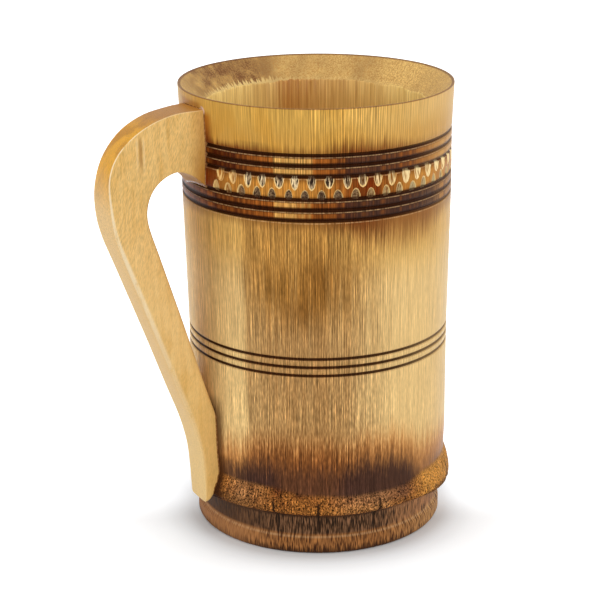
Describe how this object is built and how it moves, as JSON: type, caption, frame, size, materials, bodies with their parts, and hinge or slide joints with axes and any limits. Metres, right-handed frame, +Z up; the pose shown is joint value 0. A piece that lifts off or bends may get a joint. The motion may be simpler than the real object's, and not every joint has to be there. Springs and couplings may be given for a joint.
{
  "type": "bamboo cup",
  "caption": "Tall drinking cup turned from bamboo culm, with burnt grooves, a gouge-cut band, a bevelled rim, a foot ring below the node and an ear-shaped wooden handle.",
  "frame": {"origin": "on the cup's axis, at the centre of the foot ring's underside", "axes": "+Z up along the cup's axis, the handle reaches along -X"},
  "size_m": [0.122, 0.0908, 0.15],
  "materials": {
    "bamboo": "lacquered, scorched in bands",
    "handle_wood": "sanded and lacquered",
    "glue": "dried, glossy",
    "peg": "bare"
  },
  "bodies": {
    "root": {"culm_body": "bamboo", "handle": "handle_wood", "upper_glue_bed": "glue", "lower_glue_bed": "glue", "upper_dowel_high": "peg", "upper_dowel_low": "peg", "lower_dowel": "peg"}
  },
  "joints": []
}
